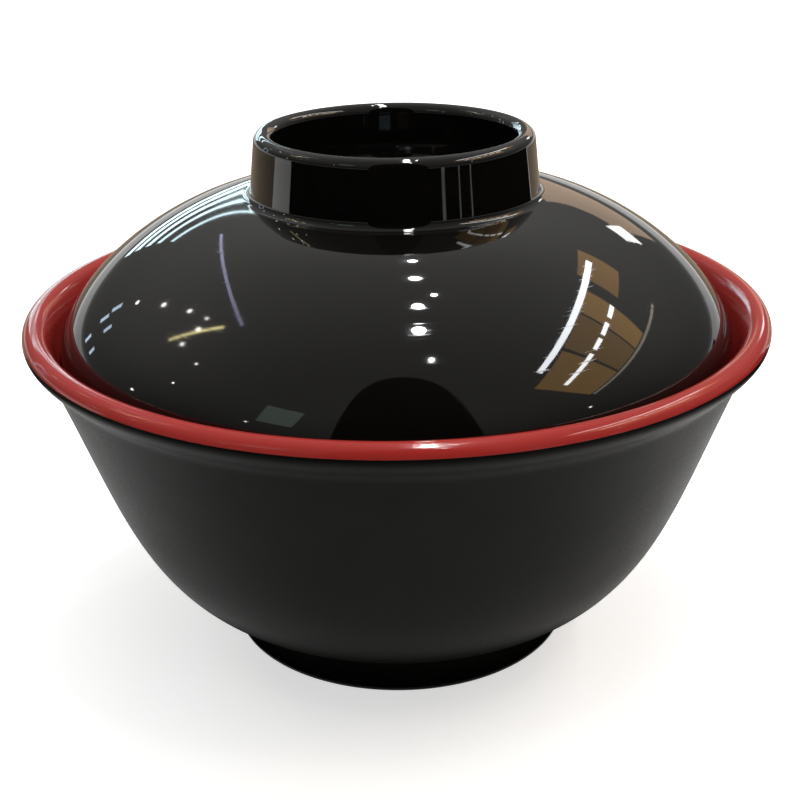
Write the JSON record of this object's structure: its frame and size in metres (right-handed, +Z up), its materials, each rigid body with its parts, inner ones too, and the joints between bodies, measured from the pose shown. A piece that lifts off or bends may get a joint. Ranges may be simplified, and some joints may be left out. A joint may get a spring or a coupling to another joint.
{
  "type": "lidded soup bowl",
  "caption": "Round double-walled soup bowl, matt black outside and glossy red inside, on a foot ring, with a glossy black domed lid lifted by its grip ring.",
  "frame": {"origin": "centre of the foot ring, on the plane that the bowl stands on", "axes": "+Z up along the axis that the bowl and the lid are turned about; X and Y lie in the standing plane"},
  "size_m": [0.15, 0.15, 0.1063],
  "materials": {
    "black_matt": "fine-grained satin matt",
    "red_gloss": "polished lacquer gloss",
    "black_gloss": "mirror-like lacquer gloss",
    "red_lid": "lacquer gloss"
  },
  "bodies": {
    "bowl": {"bowl_shell": "black_matt", "bowl_liner": "red_gloss"},
    "lid": {"lid_shell": "black_gloss", "lid_liner": "red_lid"}
  },
  "joints": [
    {"name": "lid_lift", "type": "slide", "parent": "bowl", "child": "lid", "axis": [0, 0, 1], "range_m": [0, 0.09]}
  ]
}
